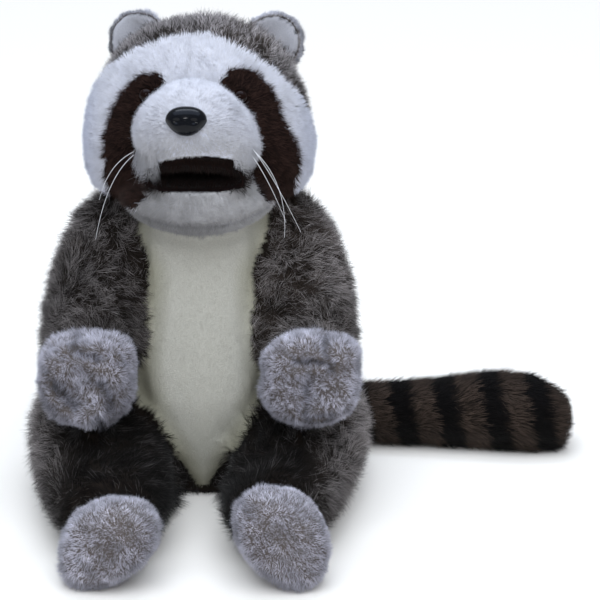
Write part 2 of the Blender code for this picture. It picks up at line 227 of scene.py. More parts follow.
EAR_PLACE = {"left": Vector((43.5, 4, 43)) * MM, "right": Vector((-40, 4, 43)) * MM}
EAR_LEAN, EAR_TURN = math.radians(36), math.radians(12)
EAR_FRAMES = {
    side: HEAD_FRAME
    @ Matrix.Translation(EAR_PLACE[side])
    @ Euler((0, sign * EAR_LEAN, sign * EAR_TURN), "YXZ").to_matrix().to_4x4()
    for side, sign in SIDES.items()
}
EAR_HALF = (22, 25)  # mm, across and up
EAR_LINING = {"left": 0.76, "right": 0.82}  # how far the velour lining reaches to the rim
EAR_BACK = 2  # mm, behind which an ear has no lining

FACE_SEAM = (-49, 32, 50, 60)  # mm: y at its top, that height, its run down, its sweep back
SEAM_END = 1.08  # times that run, where its curve stops
SEAM_TURN = 0.32  # the panel reaches further back on the toy's right
TURN_RUN = 20


def before_seam(points):
    """How far in front of the face panel's sewn edge each point lies, in mm."""
    x, y, z = in_frame(points, HEAD_FRAME).T
    start, top, run, sweep = FACE_SEAM
    turned = SEAM_TURN * np.maximum(-x, 0) * ramp(z, top, top - TURN_RUN)
    return start + sweep * np.clip((top - z) / run, 0, SEAM_END) ** 2 + turned - y


BIB_MIDDLE = 1.5
BIB_EDGE = (  # height, half width of the cream bib, which widens under the chin
    (5, 3), (34, 17), (56, 29), (80, 37), (104, 37), (140, 32), (152, 32), (172, 41), (190, 44),
)
BIB_FRONT = -22  # mm, the y in front of which a cloth may be the bib's
THROAT = (150, 190)  # heights between which the bib's cloth runs out over the shoulders
THROAT_DEPTH = 2.5 * MM


def beyond_bib(points):
    """How far outside the bib's edge each point lies, across the toy, in mm."""
    x, _, z = points.T / MM
    heights, halves = np.array(BIB_EDGE).T
    return np.abs(x - BIB_MIDDLE) - np.interp(z, heights, halves)


def throat(points):
    _, y, z = points.T / MM
    return (beyond_bib(points) < 0) & (z > THROAT[0]) & (z < THROAT[1]) & (y < BIB_FRONT)


depth[np.isin(families, ("trunk", "arm")) & throat(surface)] = THROAT_DEPTH

# The back of the head has longer pile than the face.
CROWN_DEPTH = 5 * MM
CROWN_START = -3  # mm before the face panel's edge
depth[(families == "head") & (before_seam(surface) < CROWN_START)] = CROWN_DEPTH
depth = spread(depth, skin_edges, rounds=3)

# The lining of the ears is shaved velour, so the skin is close under its tips.
LINING_DEPTH = 0.8 * MM


def in_cup(points, side):
    """How far each point is out to that ear's rim, its height there, and whether it is lined."""
    x, y, z = in_frame(points, EAR_FRAMES[side]).T
    out = np.hypot(x / EAR_HALF[0], z / EAR_HALF[1])
    return out, z, (out < EAR_LINING[side]) & (y < EAR_BACK)


for side in SIDES:
    depth[(nodes_there == f"ear_{side}") & in_cup(surface, side)[2]] = LINING_DEPTH
depth = spread(depth, skin_edges, rounds=2)
surface = surface - outward * depth[:, None]

# --- Stitched and pressed forms ---
# The mitts' fingers are folds pulled in with a stitch, and the toy's left has a thumb. The
# chin has a fold, the muzzle falls away beside the eyes, and a leg is pressed by the belly.
PAW_FOLDS = {  # ends of each fold, across and up from the mitt's middle, in mm
    "right": (((-6, 24), (9, 20)), ((11, 4), (16, -15)), ((-19, 3), (-6, -11)), ((9, -21), (9, -34))),
    "left": (((-9, 18), (8, 17)), ((8, 30), (12, 12)), ((-2, 4), (-4, -19)), ((-4, -19), (12, -19))),
}
FOLD_WIDTH = 3.4
FOLD_DEPTH = 5 * MM
KNUCKLES = {  # across and up from the middle, size, and how far it rises
    "right": (23, 19, 10, 3.5),
    "left": (26, 25, 9, 7.5),  # the thumb
}
PAW_CORNERS = 1.3 * MM  # the mitts are a little square above
CORNERS_RISE = (0.6, 20)  # their share at a mitt's middle, and mm up to 1 more
PAW_UNEVEN = 1.4 * MM
UNEVEN_SIZE = 13 * MM
LUMP_DEPTH = 1.6 * MM
LUMP_SIZE = 7 * MM
LUMP_SHARE = (0.4, 0.5)  # its middle, and how far it swings
CHIN_FOLD = (192, 0.003, 2.2)  # height, its rise to the sides, and width
CHIN_FOLD_DEPTH = 2.5 * MM
CHIN_FRONT = -60  # mm, the y in front of which the fold shows
EYE_HOLLOW = {"left": 6 * MM, "right": 9 * MM}  # the muzzle falls away beside the eyes
HOLLOW_SIZE = 13
LAP_DENT = 6 * MM  # the toy's left leg is pressed outwards where it lies beside the belly


def in_fold(points):
    """How deep in a mitt's fold each point lies, from 0 to 1."""
    share = np.zeros(len(points))
    for side, folds in PAW_FOLDS.items():
        flat, front = paw_flat(points, side)
        for start, end in np.array(folds, dtype=float):
            run = end - start
            along = np.clip((flat - start) @ run / (run @ run), 0, 1)[:, None]
            away = np.linalg.norm(flat - start - along * run, axis=1)
            share = np.maximum(share, hump(away, FOLD_WIDTH) * front)
    return share


def in_chin_fold(points):
    x, y, z = points.T / MM
    height, rise, width = CHIN_FOLD
    return hump(z - height - rise * x**2, width) * (y < CHIN_FRONT)


def lumps(points):
    """Where the grey pile parts and sinks, from 0 to 1, over mitts and soles."""
    middle, swing = LUMP_SHARE
    return np.clip(middle + swing * waver(points, LUMP_SIZE), 0, 1)


EYE_CENTRES = {side: sum((Vector(c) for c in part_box(f"eye_{side}")), Vector()) / 2 for side in SIDES}


def from_eye(points):
    """How far each point lies from the nearer eye, in mm."""
    away = [np.linalg.norm(points - np.array(centre), axis=1) for centre in EYE_CENTRES.values()]
    return np.minimum(*away) / MM


on_paw = families == "paw"
on_jaw = families == "jaw"
dent = FOLD_DEPTH * in_fold(surface) * on_paw
for side, (across, up, size, height) in KNUCKLES.items():
    flat, front = paw_flat(surface, side)
    away = np.hypot(flat[:, 0] - across, flat[:, 1] - up)
    dent -= height * MM * hump(away, size) * front * on_paw
    rim = (1 - outward[:, 1] ** 2) * front * on_paw
    upper = np.clip(CORNERS_RISE[0] + flat[:, 1] / CORNERS_RISE[1], 0, 1)
    square = np.cos(4 * np.arctan2(flat[:, 1], flat[:, 0])) * upper
    dent += (PAW_CORNERS * square + PAW_UNEVEN * waver(surface, UNEVEN_SIZE, shift=5)) * rim
dent += CHIN_FOLD_DEPTH * in_chin_fold(surface) * on_jaw
dent += LUMP_DEPTH * lumps(surface) * np.isin(families, ("paw", "foot"))
hollow = np.where(surface[:, 0] > 0, EYE_HOLLOW["left"], EYE_HOLLOW["right"])
dent += hollow * hump(from_eye(surface), HOLLOW_SIZE) * (families == "muzzle")
x, y, z = surface.T / MM
dent += LAP_DENT * (ramp(x, 48, 34) * ramp(y, -165, -135)) * (nodes_there == "leg_left")
dent = spread(dent, skin_edges, rounds=2)
surface = surface - outward * dent[:, None]

# Near the trunk the legs' pile drapes straight to the floor, which closes the hollow there.
UNDER_LEGS = (0, 17, 42, 75)  # mm, the middle between them, and out from it: wall, hollow, end
CROTCH_ARCH = 8  # mm, how much nearer the middle the wall is where the legs leave the trunk
LEFT_OPEN = 0.15  # of the hollow
x, y, z = surface.T / MM
middle, wall, hollow, end = UNDER_LEGS
low = ramp(z, 24, 14) * ramp(y, -50, -60) * ramp(y, -108, -92)
out = np.abs(x - middle)
wall = wall - CROTCH_ARCH * ramp(y, -84, -68)
closed = wall + (out - wall) * LEFT_OPEN
edge = wall + (hollow - wall) * LEFT_OPEN
outer = edge + (out - hollow) * (end - edge) / (end - hollow)
closed = np.where(out < hollow, closed, outer)
closing = (out - closed) * low * (out > wall) * (out < end) * np.isin(families, ("leg", "trunk"))
surface[:, 0] -= np.sign(x - middle) * spread(closing * MM, skin_edges, rounds=2)

# The muzzle is drawn in on the toy's right, and is fuller low down on its left.
MUZZLE_SHIFT = {"left": (-1.5, 4.5), "right": (4, 2)}  # mm along x, and more of it low down
low = ramp(z, 250, 236)
aside = np.where(x > 0, *(shift + more * low for shift, more in MUZZLE_SHIFT.values()))
aside = aside * ramp(np.abs(x), 8, 24) * (families == "muzzle")
surface[:, 0] += spread(aside * MM, skin_edges, rounds=4)

# The tail ends bluntly, and is fullest underneath.
TAIL_END = (13, 8, -4)  # mm, how much further it reaches below, right down, and on top
TAIL_BLUNT = (232, 15.5)  # mm, where its end starts to round off, and how far it reaches on
below, right_down, on_top = TAIL_END
further = below * ramp(z, 36, 24) + right_down * ramp(z, 16, 4)
further += on_top * ramp(z, 34, 42)
surface[:, 0] += further * MM * ramp(x, 224, 238)
start, reach = (value * MM for value in TAIL_BLUNT)
past = np.maximum(surface[:, 0] - start, 0)
surface[:, 0] += reach * np.tanh(past / reach) - past
skin.data.vertices.foreach_set("co", surface.ravel())
skin.data.update()
take(skin)
bpy.ops.object.shade_smooth()

# --- Markings ---
# The toy is cut from ten cloths: frosted brown pile, white and dark brown face pile, grey paw
# pile, near-black and brown tail pile, cream velour, the ears' pale velour and grey fringe,
# and the mouth's brown plush. Skin and coat take their colours from the same places.
CLOTHS = {  # root, tip (linear)
    "frosted": ((0.012, 0.009, 0.007), (0.055, 0.043, 0.037)),
    "white": ((0.62, 0.62, 0.66), (0.725, 0.745, 0.855)),
    "mask": ((0.006, 0.0035, 0.003), (0.039, 0.021, 0.017)),
    "grey": ((0.10, 0.085, 0.078), (0.67, 0.67, 0.80)),
    "tail_dark": ((0.003, 0.003, 0.003), (0.006, 0.005, 0.005)),
    "tail_brown": ((0.013, 0.010, 0.008), (0.084, 0.060, 0.048)),
    "cream": ((0.48, 0.47, 0.41), (0.56, 0.55, 0.495)),
    "ear_velour": ((0.29, 0.285, 0.29), (0.385, 0.39, 0.435)),
    "ear_fringe": ((0.17, 0.16, 0.16), (0.60, 0.61, 0.71)),
    "mouth": ((0.004, 0.002, 0.002), (0.020, 0.009, 0.007)),
}
MASK_EDGE = (  # height, how far out the mask reaches on the toy's right, and on its left
    (-86, 33, 33), (-75, 46, 46), (-65, 54, 54), (-55, 57.5, 59), (-45, 57, 63.5), (-38, 56.5, 64),
    (-32, 56, 63), (-25, 54.5, 59), (-18, 53, 55.5), (-12, 50.5, 53), (-5, 47, 50.5), (1, 41, 47.5),
    (5, 37, 43.5), (11, 30, 36),
)
MASK_TOP = (10, 2)  # its height, with more on the toy's left and less on its right
MASK_ROUND = (29, 0.018)  # where its top is highest, and how fast it falls beside that
MASK_BRIDGE = 15.5  # the white bridge over the muzzle is this far from middle to edge
BRIDGE_FLARE = (14, 16)  # it widens up to this height, by height squared over this
LIP = (3, 26, 240, 6)  # middle, half width, height there, and how much lower it ends
LIP_RAGGED = 0.3  # of what other edges wander
JAW_MASK = {"left": (30, 219, 1.2), "right": (20.5, 219, 1.0)}  # it laps the jaw: from, above, slope
EDGE_WANDER = 0.9  # mm
WANDER_SIZE = 4 * MM
BIB_LAP = (34, 92, -76)  # the cream laps the belly's neighbours: its heights, and front in y
LAP_LEFT = 3  # mm past the bib's edge on the toy's left
LAP_RIGHT = (62, 10, 1)  # on its right: a height, and mm above and below it
EAR_SEAM = 0.045  # the dark seam's width, as a share of the ear
EAR_SEAM_LOW = -9  # mm, its lower end
TAIL_BANDS = (106, 31.3, 7.8)  # the first dark band's middle in x, band to band, half width
TAIL_SLANT = 0.21
BAND_WANDER = 1.5  # mm


def over_lip(points):
    """How far above the upper lip's edge each point lies, in mm."""
    middle, half, height, fall = LIP
    return points[:, 2] / MM - height + fall * ((points[:, 0] / MM - middle) / half) ** 2


def in_mask(points, ragged):
    x, _, z = in_frame(points, HEAD_FRAME).T
    heights, right, left = np.array(MASK_EDGE).T
    reach = np.where(x > 0, np.interp(z, heights, left), np.interp(z, heights, right))
    top = MASK_TOP[0] + MASK_TOP[1] * np.sign(x) - MASK_ROUND[1] * (np.abs(x) - MASK_ROUND[0]) ** 2
    inside = (np.abs(x) + ragged < reach) & (z + ragged < top) & (z > heights[0])
    flare = np.clip(z, 0, BRIDGE_FLARE[0]) ** 2 / BRIDGE_FLARE[1]
    return inside & (np.abs(x) + ragged >= MASK_BRIDGE + flare)


def cloth_at(points, names):
    """The name of the cloth at each point of the skin."""
    family = families_of(names)
    cloth = np.full(len(points), "frosted", dtype="U12")
    x, y, z = points.T / MM
    ragged = EDGE_WANDER * waver(points, WANDER_SIZE)

    def of(*wanted):
        return np.isin(family, wanted)

    face = of("head") & (before_seam(points) > ragged)
    cloth[face] = "white"
    cloth[face & in_mask(points, ragged)] = "mask"
    cloth[of("muzzle", "jaw")] = "white"
    palate = (np.abs(x - LIP[0]) < LIP[1]) & (over_lip(points) + LIP_RAGGED * ragged < 0)
    cloth[of("muzzle") & palate] = "mouth"
    for side, (start, height, slope) in JAW_MASK.items():
        out = x * SIDES[side] - start
        cloth[of("jaw") & (out > 0) & (z + ragged > height - slope * out)] = "mask"
    cloth[of("mouth")] = "mouth"
    cloth[of("belly")] = "cream"
    cloth[of("trunk", "arm") & throat(points)] = "cream"
    low, high, front = BIB_LAP
    change, above, below = LAP_RIGHT
    lap = (z > low) & (z < high) & (y > front) & (y < BIB_FRONT)
    lap &= beyond_bib(points) < np.where(x > 0, LAP_LEFT, np.where(z > change, above, below))
    cloth[of("trunk", "leg") & lap] = "cream"
    cloth[of("arm") & lap & (x < 0)] = "cream"
    cloth[of("paw", "foot")] = "grey"
    for side in SIDES:
        there = names == f"ear_{side}"
        out, up, lined = in_cup(points, side)
        cloth[there] = "ear_fringe"
        cloth[there & lined] = "ear_velour"
        cloth[there & lined & (out > EAR_LINING[side] - EAR_SEAM) & (up > EAR_SEAM_LOW)] = "mask"
    first, pitch, half = TAIL_BANDS
    along = x + TAIL_SLANT * z + BAND_WANDER * waver(points, 2 * MM)
    phase = np.abs((along - first + pitch / 2) % pitch - pitch / 2)
    cloth[of("tail")] = "tail_brown"
    cloth[of("tail") & (phase < half)] = "tail_dark"
    return cloth


def colours(cloth, end):
    """Each cloth's colour, at its roots where end is 0 and its tips where it is 1."""
    found = np.zeros((len(cloth), 3))
    for name, ends in CLOTHS.items():
        found[cloth == name] = ends[end]
    return found


def belly_tone(points):
    """The velour is darker low down, with soil and painted shade, and dimmer along its edges with
    painted shade where the pile beside it laps over.
    """
    low = ramp(points[:, 2] / MM, 72, 27)
    edge = ramp(beyond_bib(points), -14, 0) * (points[:, 2] < 185 * MM)
    soil_and_shade, painted_shade_rgb = np.array((0.33, 0.33, 0.35)), np.array((0.30, 0.31, 0.40))
    return (1 - low[:, None] * soil_and_shade) * (1 - edge[:, None] * painted_shade_rgb)


def ear_tone(points):
    """The lining has painted shade, dim and brownish, down in the cup, and painted light leaves it
    palest at its top.
    """
    deep = np.ones(len(points))
    painted_shade_rgb = np.array((0.42, 0.45, 0.48))
    for ear_frame in EAR_FRAMES.values():
        x, _, z = in_frame(points, ear_frame).T
        other_ear = np.abs(x) > 40
        deep = np.minimum(deep, ramp(z, 14, -12) + other_ear)
    return 1.05 - deep[:, None] * painted_shade_rgb


def chin_tone(points):
    """Greyer than the muzzle, with soil and painted shade, a little paler on the toy's left, and
    painted shade along the fold.
    """
    soil_and_shade = np.array((0.49, 0.475, 0.435))
    across = 1 + 0.25 * np.clip(points[:, 0] / (30 * MM), -0.4, 1)
    mottle = 1 + 0.07 * waver(points, 4 * MM)
    fold_shade = 1 - 0.35 * in_chin_fold(points)
    return soil_and_shade * (across * mottle * fold_shade)[:, None]


BARE_TONE = 0.9  # of the tips' colour, where the skin shows
skin_cloth = cloth_at(surface, nodes_there)
skin_colour = colours(skin_cloth, 0)
bare = np.isin(skin_cloth, ("cream", "ear_velour", "white"))
skin_colour[bare] = colours(skin_cloth, 1)[bare] * BARE_TONE
# The skin takes the same tones as the pile over it, painted shade among them.
for there, tone in (
    (skin_cloth == "cream", belly_tone),
    (skin_cloth == "ear_velour", ear_tone),
    ((skin_cloth == "white") & on_jaw, chin_tone),
):
    skin_colour[there] *= tone(surface[there])


def paint(mesh, rgb):
    """Stores a colour for each point of the mesh."""
    layer = mesh.color_attributes.new("pile_colour", "FLOAT_COLOR", "POINT")
    layer.data.foreach_set("color", np.hstack([rgb, np.ones((len(rgb), 1))]).astype(np.float32).ravel())


paint(skin.data, skin_colour)


# --- Skin's cloth ---
# Knitted backing with a fine nap. It shows as shaved velour on the belly and in the ears.
def new_material(name):
    """A new material with its nodes, their links and its shader."""
    made = bpy.data.materials.new(name)
    made.use_nodes = True
    tree = made.node_tree
    return made, tree.nodes, tree.links, tree.nodes["Principled BSDF"]


def pile_material(name, sheen, roughness, nap_size, nap_depth=0.2 * MM):
    """A cloth whose colour is the pile's own, with a nap of that grain."""
    made, nodes, links, shader = new_material(name)
    shader.inputs["Roughness"].default_value = roughness
    shader.inputs["Sheen Weight"].default_value = sheen
    shader.inputs["Sheen Roughness"].default_value = 0.45
    shader.inputs["Specular IOR Level"].default_value = 0.08
    colour, place, grain, shade, mix, bump = (
        nodes.new(f"ShaderNode{kind}")
        for kind in ("Attribute", "TexCoord", "TexNoise", "MapRange", "VectorMath", "Bump")
    )
    colour.attribute_name = "pile_colour"
    grain.inputs["Scale"].default_value = 1 / nap_size
    grain.inputs["Detail"].default_value = 3
    shade.inputs["To Min"].default_value = 0.82
    shade.inputs["To Max"].default_value = 1.18
    mix.operation = "SCALE"
    bump.inputs["Strength"].default_value = 0.6
    bump.inputs["Distance"].default_value = nap_depth
    for output, socket in (
        (place.outputs["Object"], grain.inputs["Vector"]),
        (grain.outputs["Fac"], shade.inputs["Value"]),
        (colour.outputs["Color"], mix.inputs[0]),
        (shade.outputs["Result"], mix.inputs["Scale"]),
        (mix.outputs["Vector"], shader.inputs["Base Color"]),
        (grain.outputs["Fac"], bump.inputs["Height"]),
        (bump.outputs["Normal"], shader.inputs["Normal"]),
    ):
        links.new(output, socket)
    return made


skin.data.materials.append(pile_material("backing_cloth", 0.05, 0.9, 0.9 * MM, 0.35 * MM))
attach(skin, "root")
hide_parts(*flesh)

# --- Pile ---
# Every cloth's pile is planted the same way: thin tapered tufts, sunk in the skin at their
# roots, lying over with the nap and drawn together in clumps. Each has its own look.
skin_mesh = skin.data
skin_mesh.calc_loop_triangles()
corners = numbers(skin_mesh.loop_triangles, "vertices", 3, np.int32)
outward = numbers(skin_mesh.vertices, "normal", 3)
centres = surface[corners].mean(axis=1)
triangle_nodes = nearest_nodes(centres)
triangle_cloth = cloth_at(centres, triangle_nodes)
ROOT_SINK = 0.8 * MM
FLOOR_CLEARANCE = 0.4 * MM
LIFT_SPREAD = 0.17  # radians
PULL = (0.5, 1.2)  # least and most of its clump's pull that a tuft takes
IN_STEP = 0.6  # the share of tufts whose frost is their clump's
TONES = (0.4, 1.8)  # least and most of its cloth's colour
THICKNESS = (0.75, 1.25)  # least and most of its width
TUFT = np.array([0, 1, 3, 1, 2, 3, 2, 0, 3, 2, 1, 0])  # its faces, from three root corners and a tip
PATCH = 0.003  # of the coat's map, for each tuft


def unit(vectors):
    return vectors / np.maximum(np.linalg.norm(vectors, axis=1, keepdims=True), 1e-9)


def turn(vectors, axes, angles):
    """The vectors turned about the axes, which are square to them."""
    return vectors * np.cos(angles)[:, None] + np.cross(axes, vectors) * np.sin(angles)[:, None]


def unwrapped(faces):
    """An unwrap of those triangles of the skin: a map place for each corner."""
    used, index = np.unique(faces, return_inverse=True)
    mesh = bpy.data.meshes.new("unwrap")
    mesh.from_pydata(surface[used].tolist(), [], index.reshape(-1, 3).tolist())
    cut = bpy.data.objects.new("unwrap", mesh)
    bpy.context.scene.collection.objects.link(cut)
    take(cut)
    bpy.ops.object.mode_set(mode="EDIT")
    bpy.ops.mesh.select_all(action="SELECT")
    bpy.ops.uv.smart_project(angle_limit=math.radians(66), island_margin=0.004)
    bpy.ops.object.mode_set(mode="OBJECT")
    places = numbers(mesh.uv_layers.active.uv, "vector", 2).reshape(-1, 3, 2)
    bpy.data.objects.remove(cut)
    bpy.data.meshes.remove(mesh)
    return places


def coat_mesh(name, points, facing, rgb, places):
    """All the tufts as one mesh."""
    mesh = bpy.data.meshes.new(name)
    mesh.vertices.add(len(points) * 4)
    mesh.vertices.foreach_set("co", points.astype(np.float32).ravel())
    loops = (TUFT[None, :] + 4 * np.arange(len(points))[:, None]).ravel()
    mesh.loops.add(len(loops))
    mesh.loops.foreach_set("vertex_index", loops.astype(np.int32))
    starts = np.arange(0, len(loops), 3)
    mesh.polygons.add(len(starts))
    mesh.polygons.foreach_set("loop_start", starts.astype(np.int32))
    mesh.update(calc_edges=True)
    mesh.shade_smooth()
    mesh.normals_split_custom_set_from_vertices(facing.reshape(-1, 3).tolist())
    paint(mesh, rgb.reshape(-1, 3))

    half = PATCH / 2
    corner_places = np.array([(-half, -half), (0, -half / 2), (half, -half), (0, half)])
    on_map = (places[:, None, :] + corner_places[TUFT][None]).clip(0, 1)
    uv = mesh.uv_layers.new(name="OFBake")
    uv.uv.foreach_set("vector", on_map.astype(np.float32).ravel())
    return mesh


def plant(name, chosen, count, length, width, lift, flow, material, slot, **look):
    """Plants count tufts on the chosen triangles of the skin and joins them as one piece.

    length, width: of a tuft, in millimetres. lift: how steeply it stands up. flow(points,
    normals): the way that the nap lies. look: cloth, where all of it is of one; swirl, how far
    the nap wanders, over swirl_size; loose, how far a tuft strays from it; clump, how far tips
    draw together, in clumps of clump_count; spread, of lengths; shade, of tones; soft, how far
    a tuft takes the light as the skin does; frost, the share of light-tipped tufts, and
    frost_rgb their colour; longer, clumped and shaded, lengths, clumping and tones by place,
    the tones with painted shade among them.
    """
    look = {"swirl_size": 26, "spread": 0.2, "soft": 0.5, **look}
    length, width, swirl_size = length * MM, width * MM, look["swirl_size"] * MM
    draw = np.random.default_rng(sum(map(ord, name)))
    faces = corners[chosen]
    a, b, c = (surface[faces[:, k]] for k in range(3))
    reach = np.cumsum(np.linalg.norm(np.cross(b - a, c - a), axis=1))
    pick = np.searchsorted(reach, (np.arange(count) + draw.random(count)) / count * reach[-1])
    pick = np.minimum(pick, len(faces) - 1)
    u, v = draw.random(count), draw.random(count)
    over = u + v > 1
    u[over], v[over] = 1 - u[over], 1 - v[over]
    part = np.stack([1 - u - v, u, v], axis=1)[:, :, None]
    roots = (surface[faces[pick]] * part).sum(axis=1)
    normals = unit((outward[faces[pick]] * part).sum(axis=1))
    places = (unwrapped(faces)[pick] * part).sum(axis=1)
    cloth = cloth_at(roots, triangle_nodes[chosen][pick])
    cloth[:] = look.get("cloth", cloth)

    nap = flow(roots, normals)
    nap = unit(nap - normals * (nap * normals).sum(axis=1, keepdims=True))
    wander = waver(roots, swirl_size) + 0.6 * waver(roots, swirl_size / 4, shift=1)
    nap = turn(nap, normals, look["swirl"] * wander + draw.normal(0, look["loose"], count))
    long = length * (1 + look["spread"] * draw.normal(0, 1, count).clip(-2, 2))
    if "longer" in look:
        long = long * look["longer"](roots)
    rise = lift + draw.normal(0, LIFT_SPREAD, count)[:, None]
    tips = roots + (normals * np.sin(rise) + nap * np.cos(rise)) * long[:, None]

    guides = draw.permutation(count)[: math.ceil(count / look["clump_count"])]
    tree = KDTree(len(guides))
    for k, guide in enumerate(guides):
        tree.insert(roots[guide], k)
    tree.balance()
    near = guides[[tree.find(Vector(root))[1] for root in roots]]
    pull = look["clump"] * draw.uniform(*PULL, count)[:, None]
    if "clumped" in look:
        pull = pull * look["clumped"](roots)[:, None]
    tips += (tips[near] - tips) * pull

    root_rgb, tip_rgb = colours(cloth, 0), colours(cloth, 1)
    chance = draw.random(count)
    chance = np.where(draw.random(count) < IN_STEP, chance[near], chance)
    frosted = np.zeros(count, bool)
    if "frost" in look:
        frosted = (chance < look["frost"](roots)) & (cloth == "frosted")
        tip_rgb[frosted] = look["frost_rgb"]
    if "shaded" in look:
        dim = look["shaded"](roots).reshape(count, -1)
        dim[frosted] **= 0.5
        root_rgb, tip_rgb = root_rgb * dim, tip_rgb * dim
    clump_tone = draw.normal(1, look["shade"], count)[near]
    tone = (clump_tone * draw.normal(1, look["shade"], count)).clip(*TONES)[:, None]
    root_rgb, tip_rgb = root_rgb * tone, tip_rgb * tone

    side = unit(np.cross(normals, nap)) * math.sqrt(3) / 2
    ring = [-side - nap / 2, nap, side - nap / 2]
    thick = width * draw.uniform(*THICKNESS, count)[:, None] / 2
    points = [roots - normals * ROOT_SINK + corner * thick for corner in ring] + [tips]
    points = np.stack(points, axis=1)
    points[:, :, 2] = np.maximum(points[:, :, 2], FLOOR_CLEARANCE)
    rgb = np.stack([root_rgb] * 3 + [tip_rgb], axis=1)
    soft = look["soft"]
    facing = [unit(corner * (1 - soft) + normals * soft) for corner in ring] + [normals]
    mesh = coat_mesh(name, points, np.stack(facing, axis=1), rgb, places)

    coat = bpy.data.objects.new(name, mesh)
    bpy.context.scene.collection.objects.link(coat)
    mesh.materials.append(material)
    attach(coat, "root")


def on(*names):
    return np.isin(triangle_nodes, names)


def steady(*way):
    """A nap that lies the same way all over."""
    return lambda points, normals: np.tile(way, (len(points), 1))


def away_from(place):
    """A nap that lies away from that place."""
    return lambda points, normals: points - place


# --- Long frosted pile ---
# The trunk, arms, legs and the back of the head are of one long acrylic pile, dark brown at
# its roots with pale tips. It is brushed down the limbs and lies in swirls.
NEAR_BIB = 14  # mm from its edge, within which the pile lies over it
OVER_BIB = (-30, -118)  # from and to these y
TURNED_IN = 0.9


def over_bib(*way):
    """A nap that lies that way, and turns in over the bib's edge where it is near."""

    def flow(points, normals):
        x, y, _ = points.T / MM
        near = ramp(beyond_bib(points), NEAR_BIB, 0) * (y < OVER_BIB[0]) * (y > OVER_BIB[1])
        inwards = -TURNED_IN * near * np.sign(x - BIB_MIDDLE)
        return np.array(way) + inwards[:, None] * np.array((1, 0, 0))

    return flow


def patchy_frost(points):
    """The pale tips show in patches, and most on the outer sides, as painted sheen of pile seen edge
    on.
    """
    out = np.abs(points[:, 0] - 3.5 * MM) / MM
    return 0.30 + 0.14 * waver(points, 12 * MM) + 0.22 * ramp(out, 62, 78)


def out_on_leg(points):
    """How far out from the lap each point lies, in mm."""
    x = points[:, 0] / MM
    return np.where(x < 0, -x - 78, x - 66)


def leg_frost(points):
    """The legs are nearly black on top, with few pale tips in the painted shade under the mitts, and
    paler outer sides, the toy's left most.
    """
    return ramp(out_on_leg(points), 0, 21, least=0.08).clip(max=0.8) + 0.06 * waver(points, 9 * MM)


def leg_tone(points):
    """The brown of the legs is darkest in the lap, with painted shade under the mitts, and lightens
    outwards.
    """
    return np.clip(0.30 + out_on_leg(points) / 30, 0.10, 1.5)


def at_crotch(points):
    """The inner sides close over the trunk's lower edge, and are short beside the belly."""
    x, y, z = points.T / MM
    inner = ramp(np.abs(x - BIB_MIDDLE), 48, 28) * (y > -110)
    longer = np.where(z < 12, 0.2, -0.5)
    beside_foot = ramp(y, -148, -168)
    return (1 + inner * longer) * (1 - 0.5 * beside_foot)


def arm_tone(points):
    """Broad lighter and darker patches, where the pile lies over or stands."""
    paler = np.where(points[:, 0] < 0, 0.55, 1.06)  # darker on the toy's right
    return paler * (1 + 0.2 * waver(points, 22 * MM) + 0.14 * waver(points, 8 * MM, shift=2))


def trunk_tone(points):
    """As the arms, but darkened low down between the legs with painted shade."""
    return arm_tone(points) * ramp(points[:, 2] / MM, 10, 70, least=0.25)


def by_the_bib(points):
    """The pile is short where it meets the cream velour."""
    in_front = points[:, 1] < BIB_FRONT * MM
    return np.where(in_front, ramp(beyond_bib(points), -12, 12, least=0.5), 1)


def loose_by_bib(points):
    """It doesn't clump where it lies over the velour, so its edge there is soft."""
    in_front = points[:, 1] < BIB_FRONT * MM
    return np.where(in_front, ramp(beyond_bib(points), 0, 16, least=0.1), 1)


LONG = dict(
    length=11.5, width=0.43, lift=0.6, swirl=1.3, loose=0.75, clump=0.4, clump_count=10, shade=0.18,
    frost=patchy_frost, frost_rgb=(0.42, 0.385, 0.385), longer=by_the_bib, clumped=loose_by_bib,
    shaded=arm_tone, cloth="frosted", slot="brown_grey_pile",
    material=pile_material("long_frosted_pile", 0.07, 0.8, 6 * MM),
)
TRUNK = dict(LONG, shaded=trunk_tone)
DARK = dict(LONG, frost=leg_frost, shaded=leg_tone, longer=at_crotch)
frosted_cloth = triangle_cloth == "frosted"
down_body, down_limb, along_leg = over_bib(0, 0.15, -1), over_bib(0, -0.7, -0.7), over_bib(0, -1, 0.15)
plant("trunk_pile", on("trunk") & frosted_cloth, 20000, flow=down_body, **TRUNK)
for side in SIDES:
    plant(f"arm_{side}_pile", on(f"arm_{side}") & frosted_cloth, 30000, flow=down_limb, **LONG)
    plant(f"leg_{side}_pile", on(f"leg_{side}") & frosted_cloth, 28000, flow=along_leg, **DARK)


def crown_frost(points):
    """Mostly pale, and less so on the toy's left."""
    return 0.75 + 0.2 * waver(points, 10 * MM) - 0.25 * ramp(points[:, 0], 0, 30 * MM)


def from_seam(points):
    """Short at the face panel's edge, and longest on top."""
    behind = np.clip(0.45 - before_seam(points) / 30, 0.45, 1)
    return behind * (1 + 0.5 * hump(points[:, 0] / MM - 12, 15))


CROWN = dict(
    LONG, length=6, width=0.42, lift=0.65, swirl=0.9, swirl_size=12, loose=0.9, clump=0.2,
    frost=crown_frost, frost_rgb=(0.53, 0.495, 0.515), longer=from_seam,
)
off_crown = steady(*(HEAD_FRAME.to_3x3() @ Vector((0, 0.8, 0.6))))  # up and back from the face
plant("crown_pile", on("head") & frosted_cloth, 20000, flow=off_crown, **CROWN)

